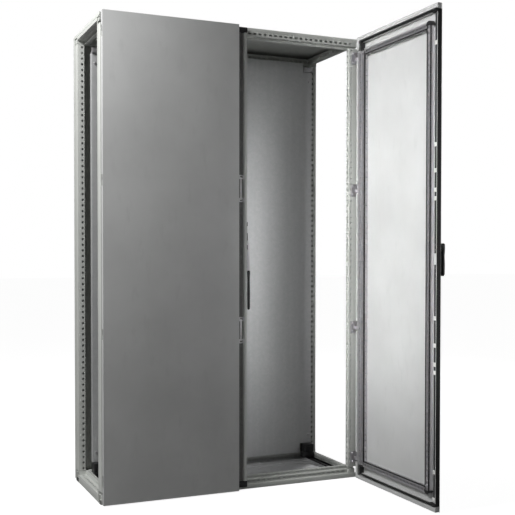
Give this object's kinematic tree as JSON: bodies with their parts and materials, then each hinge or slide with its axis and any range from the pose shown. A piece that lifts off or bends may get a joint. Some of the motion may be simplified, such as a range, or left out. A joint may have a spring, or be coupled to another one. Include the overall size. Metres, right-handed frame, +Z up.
{
  "type": "switchboard cabinet",
  "caption": "Floor-standing double-door switchboard cabinet with an open bayable frame, a mounting plate and espagnolette door locks.",
  "frame": {"origin": "on the floor under the middle of the frame, in the underside of the base cross bar", "axes": "+Z up, +X to the right of a person facing the doors, +Y to the rear panel"},
  "size_m": [1.2329, 1.0855, 2],
  "materials": {
    "frame_paint": "fine textured light grey powder coat",
    "door_paint": "fine textured light grey powder coat",
    "galvanised_sheet": "satin zinc-plated sheet",
    "zinc_steel": "bright zinc-plated",
    "black_plastic": "moulded black",
    "black_rubber": "matt foamed seal"
  },
  "bodies": {
    "frame": {"base_cross_bar": "frame_paint", "base_rail_front": "frame_paint", "base_rail_left": "frame_paint", "base_rail_rear": "frame_paint", "base_rail_right": "frame_paint", "gland_plate_front": "galvanised_sheet", "gland_plate_middle": "galvanised_sheet", "gland_plate_rear": "galvanised_sheet", "left_hinge_bracket_1": "zinc_steel", "left_hinge_bracket_2": "zinc_steel", "left_hinge_bracket_3": "zinc_steel", "left_hinge_bracket_4": "zinc_steel", "mounting_plate": "galvanised_sheet", "plate_holder_left": "zinc_steel", "plate_holder_right": "zinc_steel", "plate_slide_left": "black_plastic", "plate_slide_rail_left": "black_plastic", "plate_slide_rail_right": "black_plastic", "plate_slide_right": "black_plastic", "post_front_left": "frame_paint", "post_front_right": "frame_paint", "post_rear_left": "frame_paint", "post_rear_right": "frame_paint", "rear_panel": "frame_paint", "right_hinge_bracket_1": "zinc_steel", "right_hinge_bracket_2": "zinc_steel", "right_hinge_bracket_3": "zinc_steel", "right_hinge_bracket_4": "zinc_steel", "roof_plate": "frame_paint", "top_rail_front": "frame_paint", "top_rail_left": "frame_paint", "top_rail_rear": "frame_paint", "top_rail_right": "frame_paint"},
    "left_door": {"centre_strip": "frame_paint", "centre_strip_cap_bottom": "black_plastic", "centre_strip_cap_top": "black_plastic", "left_door_gasket": "black_rubber", "left_door_skin": "door_paint", "left_door_tube_frame": "zinc_steel", "left_hinge_knuckle_1": "zinc_steel", "left_hinge_knuckle_2": "zinc_steel", "left_hinge_knuckle_3": "zinc_steel", "left_hinge_knuckle_4": "zinc_steel", "left_lock_case": "zinc_steel"},
    "right_door": {"handle_base": "black_plastic", "right_door_gasket": "black_rubber", "right_door_skin": "door_paint", "right_door_tube_frame": "zinc_steel", "right_hinge_knuckle_1": "zinc_steel", "right_hinge_knuckle_2": "zinc_steel", "right_hinge_knuckle_3": "zinc_steel", "right_hinge_knuckle_4": "zinc_steel", "right_lock_case": "zinc_steel"},
    "handle_hub": {"handle_hub": "black_plastic"},
    "handle_lever": {"handle_lever": "black_plastic"},
    "inner_lever": {"inner_lever": "black_plastic"},
    "left_lower_rod": {"left_door_lower_rod": "zinc_steel"},
    "left_upper_rod": {"left_door_upper_rod": "zinc_steel"},
    "right_lower_rod": {"right_door_lower_rod": "zinc_steel"},
    "right_upper_rod": {"right_door_upper_rod": "zinc_steel"}
  },
  "joints": [
    {"name": "left_door_hinge", "type": "hinge", "parent": "frame", "child": "left_door", "pos_m": [-0.5935, -0.2435, 1], "axis": [0, 0, -1], "range_deg": [0, 130]},
    {"name": "right_door_hinge", "type": "hinge", "parent": "frame", "child": "right_door", "pos_m": [0.5935, -0.2435, 1], "axis": [0, 0, 1], "range_deg": [-90, 40]},
    {"name": "handle_turn", "type": "hinge", "parent": "right_door", "child": "handle_hub", "pos_m": [0.6206, -0.8075, 1.045], "axis": [1, 0, 0], "range_deg": [0, 90]},
    {"name": "handle_lift", "type": "hinge", "parent": "handle_hub", "child": "handle_lever", "pos_m": [0.6209, -0.8075, 1.062], "axis": [0, -1, 0], "range_deg": [0, 45]},
    {"name": "right_upper_rod_slide", "type": "slide", "parent": "right_door", "child": "right_upper_rod", "axis": [0, 0, 1], "range_m": [-0.018, 0]},
    {"name": "right_lower_rod_slide", "type": "slide", "parent": "right_door", "child": "right_lower_rod", "axis": [0, 0, 1], "range_m": [0, 0.018]},
    {"name": "inner_lever_turn", "type": "hinge", "parent": "left_door", "child": "inner_lever", "pos_m": [0.056, -0.2125, 0.945], "axis": [0, -1, 0], "range_deg": [0, 90]},
    {"name": "left_upper_rod_slide", "type": "slide", "parent": "left_door", "child": "left_upper_rod", "axis": [0, 0, 1], "range_m": [-0.018, 0]},
    {"name": "left_lower_rod_slide", "type": "slide", "parent": "left_door", "child": "left_lower_rod", "axis": [0, 0, 1], "range_m": [0, 0.018]}
  ],
  "couplings": [
    {"joint": "right_upper_rod_slide", "follows": "handle_turn", "m_per_rad": -0.011459},
    {"joint": "right_lower_rod_slide", "follows": "handle_turn", "m_per_rad": 0.011459},
    {"joint": "left_upper_rod_slide", "follows": "inner_lever_turn", "m_per_rad": -0.011459},
    {"joint": "left_lower_rod_slide", "follows": "inner_lever_turn", "m_per_rad": 0.011459}
  ]
}
